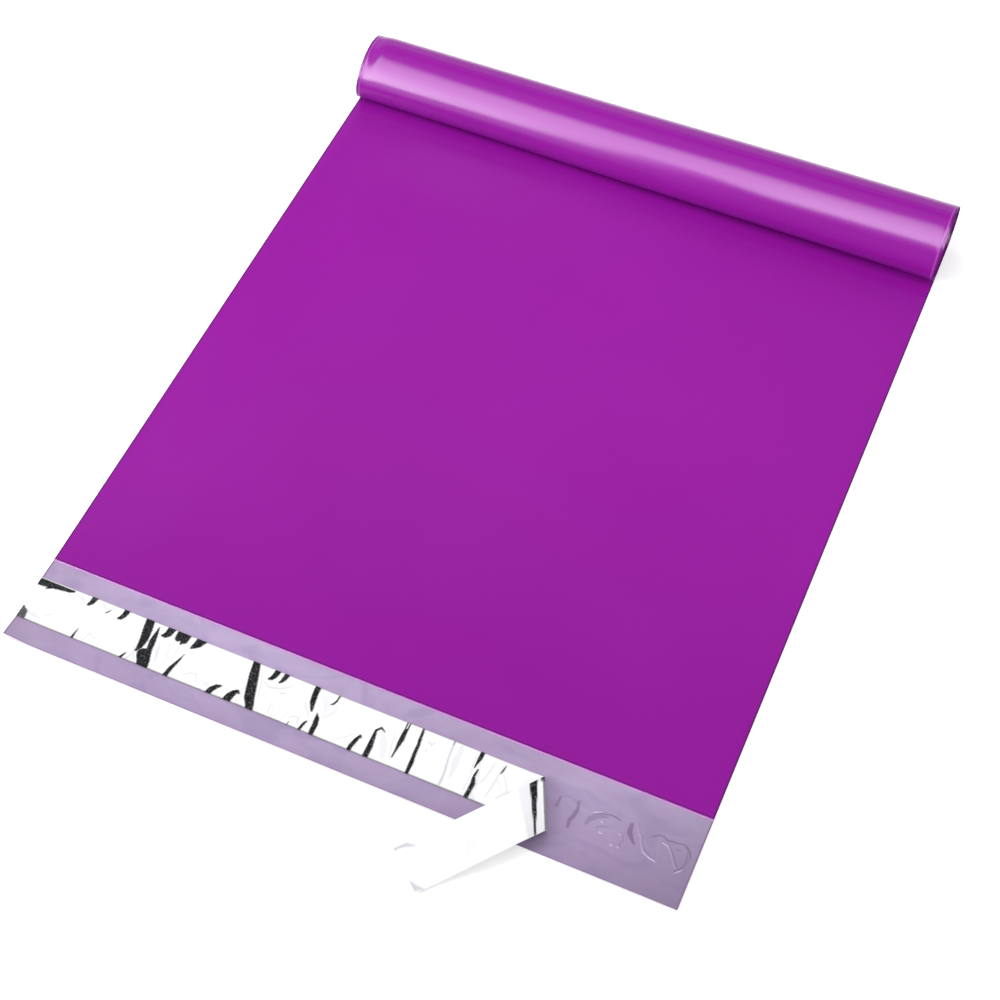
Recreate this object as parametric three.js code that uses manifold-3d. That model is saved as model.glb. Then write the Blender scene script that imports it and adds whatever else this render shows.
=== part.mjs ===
// A poly mailer lying on its back panel: one film bag with an open mouth and a long flap, its bottom end
// curled up and over, a band of adhesive on the flap and the release liner peeled back from one end.
// Millimetres, +Z up, +Y from the mouth to the curl. The origin is on the underside, below mid-mouth.
import * as THREE from 'three';
import { mergeVertices } from 'three/addons/utils/BufferGeometryUtils.js';
import Module from 'manifold-3d';

const wasm = await Module();
wasm.setup();

// Bag: two panels of one film, folded at the bottom and welded along both sides
const BAG_WIDTH = 368.3;
const BAG_LENGTH = 482.6;
const FLAP_LENGTH = 49;
const FILM_GAUGE = 0.065;
const POCKET_GAP = 0.12;
const SIDE_WELD = 6;

// Curl of the bottom end: a tight turn up and over, a looser fall in front, then a tuck under the fall
const CURL_RADIUS = 15.8;
const CURL_TURN_DEG = 195;
const CURL_FALL_RADIUS = 32;
const CURL_FALL_DEG = 245;
const CURL_TUCK_DEG = 330;
const CURL_REST_GAP = 0.4;
const CURL_STEP_DEG = 8;

// Adhesive band and release liner on the inside of the flap
const LINER_WIDTH = 25.4;
const LINER_SETBACK = 11.4;
const LINER_GAUGE = 0.06;
const ADHESIVE_WIDTH = 22;
const ADHESIVE_GAUGE = 0.08;
const ADHESIVE_END_INSET = 2;
const LAYER_GAP = 0.05;

// Peeled end of the liner: folded back along a slanting line, then sagging to the table
const PEEL_LENGTH = 79.2;
const PEEL_LEAN_DEG = 25;
const PEEL_RADIUS = 1.6;
const PEEL_STEP_DEG = 12;
const TAIL_SAG_RADIUS = 600;
const TAIL_ROWS = 8;

const PANEL_STACK = 2 * FILM_GAUGE + POCKET_GAP;

const FILM_MATERIAL = new THREE.MeshStandardMaterial({ color: 0x931e9b, roughness: 0.3, metalness: 0 });
const ADHESIVE_MATERIAL = new THREE.MeshStandardMaterial({ color: 0xb9aac8, roughness: 0.15, metalness: 0 });
const LINER_MATERIAL = new THREE.MeshStandardMaterial({ color: 0xf4f3f6, roughness: 0.35, metalness: 0 });

// Angles from one bound to the other in equal steps, both ends included
function sweep(startDeg, endDeg, stepDeg) {
  const count = Math.max(2, Math.ceil(Math.abs(endDeg - startDeg) / stepDeg));
  return Array.from({ length: count + 1 }, (_, i) => {
    return THREE.MathUtils.degToRad(startDeg + ((endDeg - startDeg) * i) / count);
  });
}

// The bag's section along its length. A station is a point on the outer skin, with the angle that the
// film has turned through there; offset moves it inwards, square to the film.
function bagStations() {
  const turn = THREE.MathUtils.degToRad(CURL_TURN_DEG);
  const fall = THREE.MathUtils.degToRad(CURL_FALL_DEG);
  const tuck = THREE.MathUtils.degToRad(CURL_TUCK_DEG);
  const turnTop = CURL_RADIUS * (1 - Math.cos(turn));
  const fallEnd = turnTop - CURL_FALL_RADIUS * (Math.cos(fall) - Math.cos(turn));
  const restHeight = PANEL_STACK + CURL_REST_GAP;
  const tuckRadius = (fallEnd - restHeight) / (Math.cos(tuck) - Math.cos(fall));
  const curlFilm = CURL_RADIUS * turn + CURL_FALL_RADIUS * (fall - turn) + tuckRadius * (tuck - fall);
  const curlStart = BAG_LENGTH - curlFilm;
  const arc = (y, z, radius) => (angle) => ({
    y: y + radius * Math.sin(angle),
    z: z - radius * Math.cos(angle),
    angle,
  });
  // Each arc goes on from the end of the one before, so its centre lies on the line of that end
  const after = (last, radius) => {
    return arc(last.y - radius * Math.sin(last.angle), last.z + radius * Math.cos(last.angle), radius);
  };
  const onTurn = arc(curlStart, CURL_RADIUS, CURL_RADIUS);
  const onFall = after(onTurn(turn), CURL_FALL_RADIUS);
  const onTuck = after(onFall(fall), tuckRadius);
  return [
    { y: 0, z: 0, angle: 0 },
    ...sweep(0, CURL_TURN_DEG, CURL_STEP_DEG).map(onTurn),
    ...sweep(CURL_TURN_DEG, CURL_FALL_DEG, CURL_STEP_DEG).slice(1).map(onFall),
    ...sweep(CURL_FALL_DEG, CURL_TUCK_DEG, CURL_STEP_DEG).slice(1).map(onTuck),
  ];
}

function offset(station, depth) {
  return new THREE.Vector2(
    station.y - depth * Math.sin(station.angle),
    station.z + depth * Math.cos(station.angle),
  );
}

// Half-round end of a layer between two depths, past its last station
function roundEnd(station, outerDepth, innerDepth) {
  const centre = offset(station, (outerDepth + innerDepth) / 2);
  const radius = (innerDepth - outerDepth) / 2;
  return [-60, -30, 0, 30, 60].map((deg) => {
    const angle = station.angle + THREE.MathUtils.degToRad(deg);
    return new THREE.Vector2(centre.x + radius * Math.cos(angle), centre.y + radius * Math.sin(angle));
  });
}

// A (y, z) section drawn out along X, centred on the bag's middle
function extrudeAcross(points, width) {
  const geometry = new THREE.ExtrudeGeometry(new THREE.Shape(points), { depth: width, bevelEnabled: false });
  const across = new THREE.Matrix4().makeBasis(
    new THREE.Vector3(0, 1, 0),
    new THREE.Vector3(0, 0, 1),
    new THREE.Vector3(1, 0, 0),
  );
  return geometry.applyMatrix4(across).translate(-width / 2, 0, 0);
}

function toSolid(geometry) {
  const bare = geometry.clone();
  bare.deleteAttribute('normal');
  bare.deleteAttribute('uv');
  const merged = mergeVertices(bare, 1e-4);
  return new wasm.Manifold(new wasm.Mesh({
    numProp: 3,
    vertProperties: new Float32Array(merged.attributes.position.array),
    triVerts: new Uint32Array(merged.index.array),
  }));
}

function toGeometry(solid) {
  const mesh = solid.getMesh();
  const geometry = new THREE.BufferGeometry();
  geometry.setAttribute('position', new THREE.BufferAttribute(new Float32Array(mesh.vertProperties), 3));
  geometry.setIndex(new THREE.BufferAttribute(new Uint32Array(mesh.triVerts), 1));
  geometry.computeVertexNormals();
  return geometry;
}

// The whole film: back panel and flap below, front panel above, with the pocket cut in from the mouth
function bagFilm() {
  const stations = bagStations();
  const last = stations[stations.length - 1];
  const outside = [
    new THREE.Vector2(-FLAP_LENGTH, FILM_GAUGE),
    new THREE.Vector2(-FLAP_LENGTH, 0),
    ...stations.map((station) => offset(station, 0)),
    ...roundEnd(last, 0, PANEL_STACK),
    ...stations.map((station) => offset(station, PANEL_STACK)).reverse(),
    new THREE.Vector2(0, FILM_GAUGE),
  ];
  const pocketTop = FILM_GAUGE + POCKET_GAP;
  const mouth = { y: -POCKET_GAP, z: 0, angle: 0 };
  const inner = [mouth, ...stations.slice(1)];
  const pocket = [
    ...inner.map((station) => offset(station, FILM_GAUGE)),
    ...roundEnd(last, FILM_GAUGE, pocketTop),
    ...inner.map((station) => offset(station, pocketTop)).reverse(),
  ];
  const body = toSolid(extrudeAcross(outside, BAG_WIDTH));
  const hollow = toSolid(extrudeAcross(pocket, BAG_WIDTH - 2 * SIDE_WELD));
  return toGeometry(body.subtract(hollow));
}

const LINER_CENTRE_Y = -LINER_SETBACK - LINER_WIDTH / 2;
const ADHESIVE_BASE = FILM_GAUGE + LAYER_GAP;
const LINER_BASE = ADHESIVE_BASE + ADHESIVE_GAUGE + LAYER_GAP;

function adhesiveStrip() {
  const strip = new THREE.BoxGeometry(BAG_WIDTH - 2 * ADHESIVE_END_INSET, ADHESIVE_WIDTH, ADHESIVE_GAUGE);
  return strip.translate(0, LINER_CENTRE_Y, ADHESIVE_BASE + ADHESIVE_GAUGE / 2);
}

// The liner is a straight strip as long as the bag is wide. Past the peel line it turns over on a small
// radius and a little beyond level, then a wide sag brings it down until it lies on the table.
function releaseLiner() {
  const lean = THREE.MathUtils.degToRad(PEEL_LEAN_DEG);
  const drop = LINER_BASE - LINER_GAUGE;
  const sag = Math.acos((TAIL_SAG_RADIUS - drop - PEEL_RADIUS) / (TAIL_SAG_RADIUS + PEEL_RADIUS));
  const overDeg = 180 + THREE.MathUtils.radToDeg(sag);
  const peelFilm = PEEL_RADIUS * (Math.PI + sag);
  const sagFilm = TAIL_SAG_RADIUS * sag;
  const peelX = BAG_WIDTH / 2 - PEEL_LENGTH;

  // Place along the section square to the peel line, for film that is past the line by so much
  const section = (past) => {
    if (past <= 0) return { along: past, z: LINER_BASE, angle: 0 };
    const angle = Math.min(past / PEEL_RADIUS, Math.PI + sag);
    const onPeel = { along: PEEL_RADIUS * Math.sin(angle), z: LINER_BASE + PEEL_RADIUS * (1 - Math.cos(angle)), angle };
    if (past <= peelFilm) return onPeel;
    const back = Math.min((past - peelFilm) / TAIL_SAG_RADIUS, sag);
    const level = Math.max(past - peelFilm - sagFilm, 0);
    const slope = sag - back;
    return {
      along: onPeel.along - TAIL_SAG_RADIUS * (Math.sin(sag) - Math.sin(slope)) - level,
      z: onPeel.z - TAIL_SAG_RADIUS * (Math.cos(slope) - Math.cos(sag)),
      angle: Math.PI + slope,
    };
  };

  // Lines across the strip: parallel to the peel line where it turns over, square at both ends
  const bend = sweep(0, overDeg, PEEL_STEP_DEG).map((angle) => ({
    x: peelX + (PEEL_RADIUS * angle) / Math.cos(lean),
    skew: -Math.tan(lean),
  }));
  const bendEnd = bend[bend.length - 1];
  const tail = Array.from({ length: TAIL_ROWS }, (_, i) => {
    const share = (i + 1) / TAIL_ROWS;
    return {
      x: THREE.MathUtils.lerp(bendEnd.x, BAG_WIDTH / 2, share),
      skew: bendEnd.skew * (1 - share),
    };
  });
  const rows = [{ x: -BAG_WIDTH / 2, skew: 0 }, ...bend, ...tail];

  const strip = new THREE.BoxGeometry(1, 1, 1, rows.length - 1, 1, 1);
  const position = strip.attributes.position;
  for (let i = 0; i < position.count; i += 1) {
    const row = rows[Math.round((position.getX(i) + 0.5) * (rows.length - 1))];
    const across = position.getY(i) * LINER_WIDTH;
    const height = (position.getZ(i) + 0.5) * LINER_GAUGE;
    const x = row.x + row.skew * across - peelX;
    const past = x * Math.cos(lean) + across * Math.sin(lean);
    const beside = x * Math.sin(lean) - across * Math.cos(lean);
    const place = section(past);
    const along = place.along - height * Math.sin(place.angle);
    position.setXYZ(
      i,
      peelX + along * Math.cos(lean) + beside * Math.sin(lean),
      LINER_CENTRE_Y + along * Math.sin(lean) - beside * Math.cos(lean),
      place.z + height * Math.cos(place.angle),
    );
  }
  strip.computeVertexNormals();
  return strip;
}

function named(name, geometry, material) {
  const mesh = new THREE.Mesh(geometry, material);
  mesh.name = name;
  return mesh;
}

const mailer = new THREE.Group();
mailer.add(
  named('bag_film', bagFilm(), FILM_MATERIAL),
  named('adhesive_strip', adhesiveStrip(), ADHESIVE_MATERIAL),
  named('release_liner', releaseLiner(), LINER_MATERIAL),
);

export default mailer;
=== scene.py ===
import math

import bpy
import numpy as np
from mathutils import Matrix, Vector, noise


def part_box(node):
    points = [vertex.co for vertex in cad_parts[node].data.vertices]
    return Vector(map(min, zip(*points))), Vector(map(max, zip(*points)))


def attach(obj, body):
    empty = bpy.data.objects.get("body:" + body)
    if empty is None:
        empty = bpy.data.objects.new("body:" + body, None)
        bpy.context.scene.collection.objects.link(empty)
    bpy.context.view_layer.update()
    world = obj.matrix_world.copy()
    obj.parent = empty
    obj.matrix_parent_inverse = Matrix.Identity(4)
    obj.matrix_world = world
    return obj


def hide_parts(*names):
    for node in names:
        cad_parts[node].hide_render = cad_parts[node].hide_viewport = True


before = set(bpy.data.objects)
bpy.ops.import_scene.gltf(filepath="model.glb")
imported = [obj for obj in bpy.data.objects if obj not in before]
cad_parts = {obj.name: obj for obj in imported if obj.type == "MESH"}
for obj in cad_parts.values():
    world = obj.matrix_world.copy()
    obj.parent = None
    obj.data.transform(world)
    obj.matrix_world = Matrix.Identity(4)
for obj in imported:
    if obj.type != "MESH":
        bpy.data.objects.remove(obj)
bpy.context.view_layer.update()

# Bag film
# One sheet of glossy purple polyethylene with a lilac grey inside, folded once at the bottom, welded down
# both sides and left longer at the back for the flap. Its bottom end has curled up and over by itself.
MM = 0.001
film_low, film_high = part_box("bag_film")
BAG_WIDTH = film_high[0] - film_low[0]
FLAP_LENGTH = -film_low[1]
FILM_GAUGE = 0.08 * MM
POCKET_GAP = 0.3 * MM
SIDE_WELD = 6 * MM
CURL_RADIUS = 15.8 * MM
CURL_TURN = math.radians(195)
FALL_RADIUS = 32 * MM
CURL_FALL = math.radians(245)
CURL_TUCK = math.radians(330)
CURL_REST_GAP = 0.4 * MM
# The curl widens towards the right, where it also comes forward and stands higher. Its left end lies back and
# droops at the top
CURL_SWELL = 1.012
CURL_TAPER = 0.035
LEFT_SHRINK = 0.015
LEFT_REACH = 120 * MM
RIGHT_SWELL = 0.012
RIGHT_START = -50 * MM
RIGHT_END = 100 * MM
CURL_LEAN = 1 * MM
RIGHT_LEAN = 0.8
CURL_RAISE = 1.2 * MM
CURL_DROOP = 2.5 * MM
DROOP_REACH = 11 * MM
BEAD_WIDTH = 1.8 * MM
BEAD_HEIGHT = 0.45 * MM
# Painted highlight on the front of the mouth's bead reaches this far from the cut edge
HIGHLIGHT_END = 0.45 * MM
# Painted shade: the line on the back of the mouth's bead runs between these two, and the line along the sides
# is this wide
SHADE_LINE_START = 1.0 * MM
SHADE_LINE_END = 1.6 * MM
EDGE_LINE = 0.7 * MM
SEAM_INSET = 2 * MM
SEAM_WIDTH = 0.4 * MM
SEAM_HEIGHT = 0.12 * MM
SEAM_FADE = 20 * MM
MOUTH_REACH = 30 * MM
EDGE_GAP = 0.1
# Soft waves in the film: the lengths of two crossed trains along x and y, and their shift
PANEL_WAVE = 0.8 * MM
PANEL_WAVE_SHAPE = (38 * MM, 61 * MM), (-83 * MM, 47 * MM), 0.6
PUFF_FROM_SIDE = 45 * MM
PUFF_FROM_MOUTH = 50 * MM
PUFF_FROM_CURL = 4 * MM, 60 * MM
FLAP_RIPPLE = 0.3 * MM
FLAP_WAVE_SHAPE = (21 * MM, 13 * MM), (47 * MM, -29 * MM), 1.1
RIPPLE_START = 8 * MM
CORNER_LIFT = 2 * MM
CORNER_REACH = 11 * MM
SHARP_ANGLE = math.radians(50)
PANEL_STACK = 2 * FILM_GAUGE + POCKET_GAP
CURL_START = film_high[1] - CURL_RADIUS
turn_top = CURL_RADIUS * (1 - math.cos(CURL_TURN))
fall_end = turn_top - FALL_RADIUS * (math.cos(CURL_FALL) - math.cos(CURL_TURN))
TUCK_RADIUS = (fall_end - PANEL_STACK - CURL_REST_GAP) / (math.cos(CURL_TUCK) - math.cos(CURL_FALL))
CURL_ARCS = [
    (CURL_RADIUS, 0, CURL_TURN),
    (FALL_RADIUS, CURL_TURN, CURL_FALL),
    (TUCK_RADIUS, CURL_FALL, CURL_TUCK),
]
BAG_LENGTH = CURL_START + sum(radius * (finish - begin) for radius, begin, finish in CURL_ARCS)


def smooth(value, start, stop):
    share = np.clip((value - start) / (stop - start), 0, 1)
    return share * share * (3 - 2 * share)


def bag_section(s):
    """The outer skin s metres from the mouth: its y, its z and the angle it has turned through."""
    y = np.minimum(s, CURL_START)
    z = 0 * y
    angle = 0 * y
    rest = s - CURL_START
    for radius, begin, finish in CURL_ARCS:
        turned = np.clip(rest / radius, 0, finish - begin)
        y = y + radius * (np.sin(begin + turned) - math.sin(begin))
        z = z + radius * (math.cos(begin) - np.cos(begin + turned))
        angle = angle + turned
        rest = rest - radius * (finish - begin)
    return y, z, angle


CURL_FRONT = bag_section(np.array([BAG_LENGTH]))[0][0]


def crossed_waves(x, y, first, second, shift):
    return np.sin(x / first[0] + y / first[1]) * np.sin(x / second[0] + y / second[1] + shift)


def flap_ripple(x, y):
    """How far the flap's film stands off the table, most of all at its outer left corner."""
    wave = crossed_waves(x, y, *FLAP_WAVE_SHAPE)
    corner = np.hypot(x + BAG_WIDTH / 2, y + FLAP_LENGTH)
    lifted = CORNER_LIFT * np.exp(-((corner / CORNER_REACH) ** 2))
    return FLAP_RIPPLE * (1 + wave) * smooth(-y, 0, RIPPLE_START) + lifted


def panel_puff(x, y):
    """How far the front panel stands off the back one: soft waves that die out at the mouth and the sides."""
    wave = crossed_waves(x, y, *PANEL_WAVE_SHAPE)
    inside = smooth(BAG_WIDTH / 2 - np.abs(x), SIDE_WELD, SIDE_WELD + PUFF_FROM_SIDE)
    before_curl = smooth(CURL_FRONT - y, *PUFF_FROM_CURL)
    past_mouth = smooth(y, 0, PUFF_FROM_MOUTH)
    return inside * before_curl * past_mouth * PANEL_WAVE * (1 + wave)


def mouth_bead(s):
    """The small round bead that the hot knife leaves along the front panel's cut edge."""
    return BEAD_HEIGHT * (1 - np.cos(2 * math.pi * np.clip(s / BEAD_WIDTH, 0, 1))) / 2


def loft_mesh(name, points):
    """A closed mesh over a grid of points: each row is one ring, and the first and last ring are capped."""
    rows, columns = points.shape[:2]
    index = np.arange(rows * columns).reshape(rows, columns)
    faces = [index[0, ::-1], index[-1]]
    for i in range(rows - 1):
        for j in range(columns):
            k = (j + 1) % columns
            faces.append((index[i, j], index[i, k], index[i + 1, k], index[i + 1, j]))
    mesh = bpy.data.meshes.new(name)
    mesh.from_pydata(points.reshape(-1, 3).tolist(), [], [tuple(map(int, face)) for face in faces])
    return mesh


def add_values(mesh, name, values):
    layer = mesh.attributes.new(name, "FLOAT", "POINT")
    layer.data.foreach_set("value", np.ascontiguousarray(values, dtype=np.float32).ravel())


def add_object(name, mesh, *materials):
    for material in materials:
        mesh.materials.append(material)
    mesh.shade_smooth()
    mesh.set_sharp_from_angle(angle=SHARP_ANGLE)
    piece = bpy.data.objects.new(name, mesh)
    bpy.context.scene.collection.objects.link(piece)
    return piece


# Each station of the section is (s, depth, share of the pocket gap, past the end)
MOUTH_END = 2 * MM
PANEL_BEGIN = 3 * MM
panel_stations = np.linspace(PANEL_BEGIN, CURL_START, 80)
curl_stations = np.linspace(CURL_START, BAG_LENGTH, 70)[1:]
flap_stations = np.linspace(-FLAP_LENGTH, 0, 60)
mouth_stations = np.linspace(0, MOUTH_END, 11)
body_stations = np.concatenate([panel_stations, curl_stations])
front_stations = np.concatenate([mouth_stations, body_stations])
stack = 2 * FILM_GAUGE

stations = []
for s in np.concatenate([flap_stations[::4], body_stations]):
    stations.append((s, 0, 0, 0))
for bend in np.radians([30, 60, 90, 120, 150]):
    share = (1 - math.cos(bend)) / 2
    stations.append((BAG_LENGTH, stack * share, share, stack * math.sin(bend) / 2))
for s in front_stations[::-1]:
    stations.append((s, stack, 1, 0))
first_inside = len(stations)
for s in np.concatenate([mouth_stations, body_stations[::2]]):
    stations.append((s, stack - FILM_GAUGE, 1, -FILM_GAUGE))
for s in np.concatenate([flap_stations[:-1], body_stations[::2]])[::-1]:
    stations.append((s, FILM_GAUGE, 0, -FILM_GAUGE if s > CURL_START else 0))

s, depth, front, past_end = np.array(stations).T
half_width = BAG_WIDTH / 2
from_side = np.array([0, 0.5, 0.9, 1.6, 2, 2.4]) * MM
MIDDLE_INSET = 4 * MM
between = np.linspace(MIDDLE_INSET - half_width, half_width - MIDDLE_INSET, 133)
x = np.concatenate([from_side - half_width, between, half_width - from_side[::-1]])[:, None]
open_share = smooth(half_width - np.abs(x), 0, SIDE_WELD) * smooth(s, 0, MOUTH_REACH)
gap = POCKET_GAP * (EDGE_GAP + (1 - EDGE_GAP) * open_share)
y, z, angle = bag_section(s)
seam = SEAM_HEIGHT * np.exp(-(((half_width - np.abs(x) - SEAM_INSET) / SEAM_WIDTH) ** 2))
outer = depth == 0
depth = depth + front * gap - seam * outer * smooth(s, CURL_START, CURL_START + SEAM_FADE)
y = y - depth * np.sin(angle) + past_end * np.cos(angle) * (s >= BAG_LENGTH)
z = z + depth * np.cos(angle) + past_end * np.sin(angle) * (s >= BAG_LENGTH)
flat = s < CURL_START
z = z + front * flat * (panel_puff(x, y) + mouth_bead(s)) + (1 - front) * (s < 0) * flap_ripple(x, y)
to_left = smooth(-x, 0, LEFT_REACH)
to_right = smooth(x, RIGHT_START, RIGHT_END)
taper = CURL_SWELL + CURL_TAPER * x / half_width - LEFT_SHRINK * to_left + RIGHT_SWELL * to_right
turning = smooth(s, CURL_FRONT, CURL_START)
y = np.where(s > CURL_FRONT, CURL_FRONT + (y - CURL_FRONT) * taper, y)
y = y + CURL_LEAN * turning * (to_left - RIGHT_LEAN * to_right)
z = np.where(s > CURL_START, z * taper, z) + CURL_RAISE * turning * to_right
z = z - CURL_DROOP * smooth(-x, half_width - DROOP_REACH, half_width) * (z / turn_top) ** 4
film_points = np.stack([np.broadcast_to(x, y.shape), y, z], axis=2)
film_mesh = loft_mesh("bag", film_points)

# Painted shade darkens the sealed and cut edges and the back slope of the mouth's bead, painted highlight
# brightens the bead's front and the curl's seams
FLAP_EDGE_SHADE = 0.7
SEAM_HIGHLIGHT = 0.5
at_side = half_width - np.abs(x) < EDGE_LINE
painted_edge_shade = front * (s >= SHADE_LINE_START) * (s <= SHADE_LINE_END) + 0 * x
painted_edge_shade = np.where(at_side, 1, painted_edge_shade)
painted_edge_shade = np.where((s <= -FLAP_LENGTH) & (depth > 0), FLAP_EDGE_SHADE, painted_edge_shade)
add_values(film_mesh, "painted_edge_shade", painted_edge_shade)
# Painted highlight along the curl's seams and on the mouth's bead
on_seam = (np.abs(half_width - np.abs(x) - SEAM_INSET) < SEAM_WIDTH / 2) & outer & (s > CURL_START)
add_values(film_mesh, "painted_highlight", np.where(on_seam, SEAM_HIGHLIGHT, front * (s <= HIGHLIGHT_END) + 0 * x))


def start_material(name):
    material = bpy.data.materials.new(name)
    material.use_nodes = True
    return material, material.node_tree.nodes, material.node_tree.links


def scaled_noise(nodes, links, scale, stretch=(1, 1, 1), detail=2, distortion=0):
    """Noise over the object's own metres, stretched along its axes."""
    place = nodes.new("ShaderNodeTexCoord")
    mapping = nodes.new("ShaderNodeMapping")
    mapping.inputs["Scale"].default_value = stretch
    texture = nodes.new("ShaderNodeTexNoise")
    texture.inputs["Scale"].default_value = scale
    texture.inputs["Detail"].default_value = detail
    texture.inputs["Distortion"].default_value = distortion
    links.new(place.outputs["Object"], mapping.inputs["Vector"])
    links.new(mapping.outputs["Vector"], texture.inputs["Vector"])
    return texture.outputs["Fac"]


def ramp(nodes, links, value, *stops):
    """A colour ramp over a value, with stops of (position, colour)."""
    node = nodes.new("ShaderNodeValToRGB")
    elements = node.color_ramp.elements
    while len(elements) < len(stops):
        elements.new(0.5)
    for element, (position, colour) in zip(elements, stops):
        element.position = position
        element.color = (*colour, 1)
    links.new(value, node.inputs["Fac"])
    return node.outputs["Color"]


def add_bump(nodes, links, shader, height, distance):
    bump = nodes.new("ShaderNodeBump")
    bump.inputs["Distance"].default_value = distance
    bump.inputs["Strength"].default_value = 1
    links.new(height, bump.inputs["Height"])
    links.new(bump.outputs["Normal"], shader.inputs["Normal"])


def tint_by(nodes, links, colour, name, tint):
    """The colour turned towards a tint as far as the mesh's own values of that name say."""
    values = nodes.new("ShaderNodeAttribute")
    values.attribute_name = name
    mix = nodes.new("ShaderNodeMix")
    mix.data_type = "RGBA"
    mix.inputs["B"].default_value = (*tint, 1)
    links.new(values.outputs["Fac"], mix.inputs["Factor"])
    links.new(colour, mix.inputs["A"])
    return mix.outputs["Result"]


PURPLE = [(0.3, (0.256, 0.0062, 0.289)), (0.7, (0.278, 0.0075, 0.313))]
# Painted shade for the sealed and cut edges
SHADED_EDGE_PURPLE = (0.08, 0.002, 0.105)
# Painted highlight for the mouth's bead and the curl's seams
HIGHLIGHT_PINK = (0.56, 0.21, 0.61)
# The flat panel has been rubbed a little dull in handling, the curled end has not
FLAT_SHINE = 0.4
CURL_SHINE = 0.7
SHINE_STEP = 3 * MM


def purple_film():
    """Pigmented skin: even purple, faintly cloudy, glossy, with painted shade at its seals and cut edges and
    painted highlight on the mouth's bead and the curl's seams.
    """
    material, nodes, links = start_material("purple_film")
    shader = nodes["Principled BSDF"]
    clouds = scaled_noise(nodes, links, scale=5, detail=3)
    purple = ramp(nodes, links, clouds, *PURPLE)
    # Painted shade at the sealed and cut edges
    purple = tint_by(nodes, links, purple, "painted_edge_shade", SHADED_EDGE_PURPLE)
    # Painted highlight on the mouth's bead and the curl's seams
    purple = tint_by(nodes, links, purple, "painted_highlight", HIGHLIGHT_PINK)
    links.new(purple, shader.inputs["Base Color"])
    grain = scaled_noise(nodes, links, scale=60, stretch=(0.2, 1, 1), detail=4)
    gloss = nodes.new("ShaderNodeMapRange")
    gloss.inputs["To Min"].default_value = 0.29
    gloss.inputs["To Max"].default_value = 0.36
    links.new(grain, gloss.inputs["Value"])
    links.new(gloss.outputs["Result"], shader.inputs["Roughness"])
    shader.inputs["Specular IOR Level"].default_value = 0.12
    shader.inputs["Specular Tint"].default_value = (1, 0.2, 1, 1)
    shader.inputs["Coat Roughness"].default_value = 0.14
    place = nodes.new("ShaderNodeTexCoord")
    apart = nodes.new("ShaderNodeSeparateXYZ")
    links.new(place.outputs["Object"], apart.inputs["Vector"])
    shine = nodes.new("ShaderNodeMapRange")
    shine.inputs["From Min"].default_value = CURL_FRONT - SHINE_STEP
    shine.inputs["From Max"].default_value = CURL_FRONT
    shine.inputs["To Min"].default_value = FLAT_SHINE
    shine.inputs["To Max"].default_value = CURL_SHINE
    links.new(apart.outputs["Y"], shine.inputs["Value"])
    links.new(shine.outputs["Result"], shader.inputs["Coat Weight"])
    add_bump(nodes, links, shader, grain, 0.05 * MM)
    return material


def multiply(nodes, links, first, second):
    mix = nodes.new("ShaderNodeMix")
    mix.data_type = "RGBA"
    mix.blend_type = "MULTIPLY"
    mix.inputs["Factor"].default_value = 1
    links.new(first, mix.inputs["A"])
    links.new(second, mix.inputs["B"])
    return mix.outputs["Result"]


LILAC = [(0.3, (0.43, 0.33, 0.535)), (0.55, (0.495, 0.385, 0.605)), (0.75, (0.54, 0.425, 0.65))]
# Painted shade for the inner skin's sealed and cut edges
SHADED_EDGE_LILAC = (0.2, 0.12, 0.25)
# The lilac darkens along this direction, out to the free edge and a little to the right, and at both ends
TOWARD_EDGE = (1.2, -7.2, 0)
EDGE_SHADE = [
    (0, (0.95, 0.95, 0.95)),
    (0.12, (0.85, 0.84, 0.85)),
    (0.25, (0.79, 0.78, 0.8)),
    (0.36, (0.76, 0.75, 0.77)),
    (0.46, (0.66, 0.63, 0.67)),
    (0.56, (0.55, 0.53, 0.57)),
]
END_SHADE = [(0.14, (1, 1, 1)), (0.184, (0.87, 0.86, 0.86))]
BLOTCHES = [(0.38, (0.91, 0.89, 0.94)), (0.5, (1, 1, 1)), (0.62, (1, 0.96, 0.98))]


def lilac_film(nodes, links):
    """Lilac grey of the inner skin, softly mottled and blotched, darker at the flap's free edge and ends."""
    mottle = scaled_noise(nodes, links, scale=24, stretch=(0.5, 1, 1), detail=3, distortion=1.2)
    lilac = ramp(nodes, links, mottle, *LILAC)
    place = nodes.new("ShaderNodeTexCoord")
    toward_edge = nodes.new("ShaderNodeVectorMath")
    toward_edge.operation = "DOT_PRODUCT"
    toward_edge.inputs[1].default_value = TOWARD_EDGE
    links.new(place.outputs["Object"], toward_edge.inputs[0])
    shade = ramp(nodes, links, toward_edge.outputs["Value"], *EDGE_SHADE)
    blotch = scaled_noise(nodes, links, scale=24, stretch=(1, 1.6, 1), detail=4, distortion=2)
    hue = ramp(nodes, links, blotch, *BLOTCHES)
    apart = nodes.new("ShaderNodeSeparateXYZ")
    links.new(place.outputs["Object"], apart.inputs["Vector"])
    from_middle = nodes.new("ShaderNodeMath")
    from_middle.operation = "ABSOLUTE"
    links.new(apart.outputs["X"], from_middle.inputs[0])
    ends = ramp(nodes, links, from_middle.outputs["Value"], *END_SHADE)
    lilac = multiply(nodes, links, multiply(nodes, links, lilac, shade), ends)
    return multiply(nodes, links, lilac, hue), mottle


def lilac_inside():
    material, nodes, links = start_material("lilac_inside")
    shader = nodes["Principled BSDF"]
    lilac, mottle = lilac_film(nodes, links)
    # Painted shade at the sealed and cut edges
    lilac = tint_by(nodes, links, lilac, "painted_edge_shade", SHADED_EDGE_LILAC)
    links.new(lilac, shader.inputs["Base Color"])
    shader.inputs["Roughness"].default_value = 0.32
    add_bump(nodes, links, shader, mottle, 0.4 * MM)
    return material


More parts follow.
